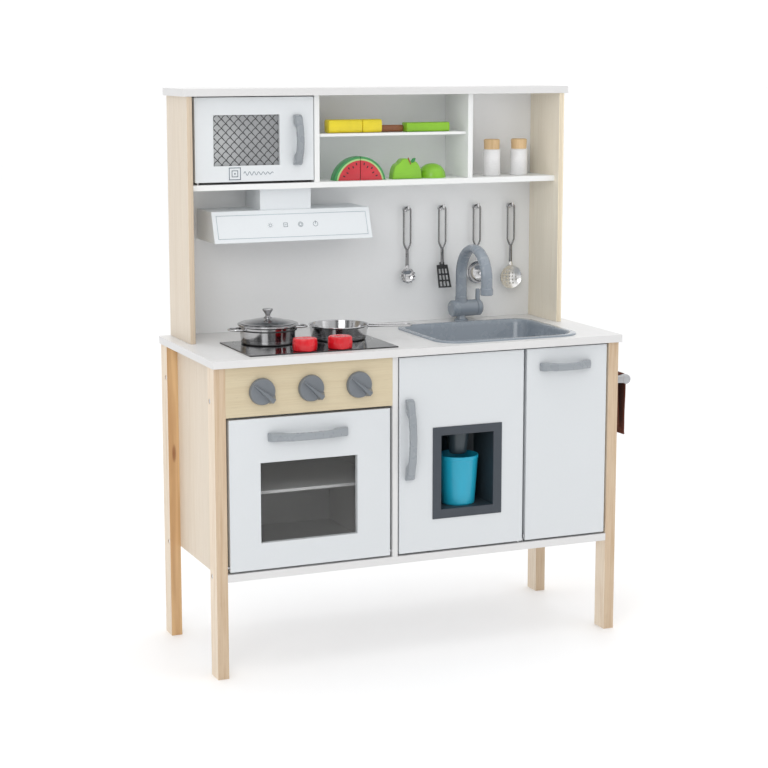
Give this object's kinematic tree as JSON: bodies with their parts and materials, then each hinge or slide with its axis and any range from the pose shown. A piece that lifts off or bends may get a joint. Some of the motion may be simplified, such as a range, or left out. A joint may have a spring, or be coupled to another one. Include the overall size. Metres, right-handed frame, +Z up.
{
  "type": "toy kitchen",
  "caption": "Wooden play kitchen with oven, fridge, dishwasher and microwave doors, sink and tap, hob, hood, towel rail, utensils, cookware and play food.",
  "frame": {"origin": "centre of the whole kitchen's bounding box, at floor level under the legs", "axes": "+X to the right as seen from the front, +Y from the front to the back, +Z up"},
  "size_m": [0.7504, 0.302, 0.905],
  "materials": {
    "pine": "clear-lacquered solid pine",
    "birch_ply": "clear-lacquered birch plywood",
    "white_board": "white lacquer on fibreboard, satin",
    "back_board": "white foil on thin hardboard",
    "zinc_steel": "zinc-plated steel",
    "rail_grey": "silver-grey moulded plastic",
    "sink_grey": "blue-grey moulded plastic, satin",
    "hob_black": "polished black plate",
    "hood_white": "white lacquer on fibreboard, satin",
    "handle_grey": "silver-grey moulded plastic, satin",
    "knob_grey": "dark grey moulded plastic, fine texture",
    "dispenser_grey": "dark grey moulded plastic",
    "cup_blue": "blue-green translucent plastic",
    "smoked_pane": "smoked clear plastic",
    "grey_pane": "grey plastic printed with a diamond mesh",
    "pot_steel": "polished stainless steel",
    "tool_black": "black plastic head on a steel handle",
    "towel_fabric": "woven cotton",
    "shaker_white": "white-painted wood with a plain wooden cap",
    "food_yellow": "painted wood",
    "food_red": "painted wood",
    "food_mixed": "painted wood"
  },
  "bodies": {
    "frame": {"leg_front_left": "pine", "leg_front_right": "pine", "leg_rear_left": "pine", "leg_rear_right": "pine", "side_panel_left": "birch_ply", "side_panel_right": "birch_ply", "bottom_board": "white_board", "centre_divider": "white_board", "right_divider": "white_board", "lower_back_panel": "back_board", "oven_shelf": "white_board", "worktop": "white_board", "control_panel": "birch_ply", "hob_plate": "hob_black", "sink_basin": "sink_grey", "tap_body": "sink_grey", "upper_side_left": "birch_ply", "upper_side_right": "birch_ply", "top_board": "white_board", "upper_shelf": "white_board", "upper_divider_left": "white_board", "upper_divider_right": "white_board", "middle_shelf": "white_board", "upper_back_panel": "back_board", "range_hood": "hood_white", "utensil_hooks": "zinc_steel", "towel_rail": "rail_grey", "towel": "towel_fabric", "frame_bolts": "zinc_steel", "hinge_hardware": "zinc_steel"},
    "oven": {"oven_door": "white_board", "oven_window": "smoked_pane", "oven_handle": "handle_grey"},
    "fridge": {"fridge_door": "white_board", "fridge_handle": "handle_grey", "dispenser_housing": "dispenser_grey", "dispenser_nozzle": "dispenser_grey"},
    "dishwasher": {"dishwasher_door": "white_board", "dishwasher_handle": "handle_grey"},
    "microwave": {"microwave_door": "white_board", "microwave_window": "grey_pane", "microwave_handle": "handle_grey"},
    "left_knob": {"knob_left": "knob_grey"},
    "centre_knob": {"knob_centre": "knob_grey"},
    "right_knob": {"knob_right": "knob_grey"},
    "spout": {"tap_spout": "sink_grey"},
    "lever": {"tap_lever": "sink_grey"},
    "pot": {"pot_body": "pot_steel"},
    "lid": {"pot_lid": "pot_steel"},
    "pan": {"frying_pan": "pot_steel"},
    "cup_body": {"cup": "cup_blue"},
    "spoon": {"pasta_spoon": "pot_steel"},
    "turner": {"slotted_turner": "tool_black"},
    "ladle_body": {"ladle": "pot_steel"},
    "skimmer_body": {"skimmer": "pot_steel"},
    "left_shaker": {"shaker_left": "shaker_white"},
    "right_shaker": {"shaker_right": "shaker_white"},
    "middle_food": {"middle_shelf_food": "food_yellow"},
    "upper_food": {"upper_shelf_food": "food_mixed"},
    "hob_pieces": {"hob_food": "food_red"}
  },
  "joints": [
    {"name": "oven_door_hinge", "type": "hinge", "parent": "frame", "child": "oven", "pos_m": [-0.2152, -0.123, 0.176], "axis": [1, 0, 0], "range_deg": [0, 90]},
    {"name": "fridge_door_hinge", "type": "hinge", "parent": "frame", "child": "fridge", "pos_m": [0.1491, -0.123, 0.328], "axis": [0, 0, 1], "range_deg": [0, 90]},
    {"name": "dishwasher_door_hinge", "type": "hinge", "parent": "frame", "child": "dishwasher", "pos_m": [0.2328, -0.123, 0.176], "axis": [1, 0, 0], "range_deg": [0, 90]},
    {"name": "microwave_door_hinge", "type": "hinge", "parent": "frame", "child": "microwave", "pos_m": [-0.3327, 0.0605, 0.824], "axis": [0, 0, -1], "range_deg": [0, 90]},
    {"name": "left_knob_turn", "type": "hinge", "parent": "frame", "child": "left_knob", "pos_m": [-0.2952, -0.129, 0.45], "axis": [0, 1, 0], "continuous": true},
    {"name": "centre_knob_turn", "type": "hinge", "parent": "frame", "child": "centre_knob", "pos_m": [-0.2152, -0.129, 0.45], "axis": [0, 1, 0], "continuous": true},
    {"name": "right_knob_turn", "type": "hinge", "parent": "frame", "child": "right_knob", "pos_m": [-0.1352, -0.129, 0.45], "axis": [0, 1, 0], "continuous": true},
    {"name": "spout_swivel", "type": "hinge", "parent": "frame", "child": "spout", "pos_m": [0.1578, 0.118, 0.545], "axis": [0, 0, 1], "range_deg": [-60, 60]},
    {"name": "lever_turn", "type": "hinge", "parent": "frame", "child": "lever", "pos_m": [0.1888, 0.118, 0.524], "axis": [1, 0, 0], "range_deg": [-20, 45]},
    {"name": "spoon_swing", "type": "hinge", "parent": "frame", "child": "spoon", "pos_m": [0.0638, 0.137, 0.696], "axis": [0, 1, 0], "range_deg": [-5, 5]},
    {"name": "turner_swing", "type": "hinge", "parent": "frame", "child": "turner", "pos_m": [0.1298, 0.137, 0.696], "axis": [0, 1, 0], "range_deg": [-3, 3]},
    {"name": "ladle_swing", "type": "hinge", "parent": "frame", "child": "ladle_body", "pos_m": [0.1958, 0.137, 0.696], "axis": [0, 1, 0], "range_deg": [-5, 5]},
    {"name": "skimmer_swing", "type": "hinge", "parent": "frame", "child": "skimmer_body", "pos_m": [0.2618, 0.137, 0.696], "axis": [0, 1, 0], "range_deg": [-5, 5]},
    {"name": "cup_out", "type": "slide", "parent": "fridge", "child": "cup_body", "axis": [0, -1, 0], "range_m": [0, 0.1]},
    {"name": "pot_lift", "type": "slide", "parent": "frame", "child": "pot", "axis": [0, 0, 1], "range_m": [0, 0.05]},
    {"name": "lid_lift", "type": "slide", "parent": "pot", "child": "lid", "axis": [0, 0, 1], "range_m": [0, 0.04]},
    {"name": "pan_lift", "type": "slide", "parent": "frame", "child": "pan", "axis": [0, 0, 1], "range_m": [0, 0.08]},
    {"name": "left_shaker_out", "type": "slide", "parent": "frame", "child": "left_shaker", "axis": [0, -1, 0], "range_m": [0, 0.12]},
    {"name": "right_shaker_out", "type": "slide", "parent": "frame", "child": "right_shaker", "axis": [0, -1, 0], "range_m": [0, 0.12]},
    {"name": "middle_food_out", "type": "slide", "parent": "frame", "child": "middle_food", "axis": [0, -1, 0], "range_m": [0, 0.12]},
    {"name": "upper_food_out", "type": "slide", "parent": "frame", "child": "upper_food", "axis": [0, -1, 0], "range_m": [0, 0.12]},
    {"name": "hob_pieces_lift", "type": "slide", "parent": "frame", "child": "hob_pieces", "axis": [0, 0, 1], "range_m": [0, 0.05]}
  ]
}
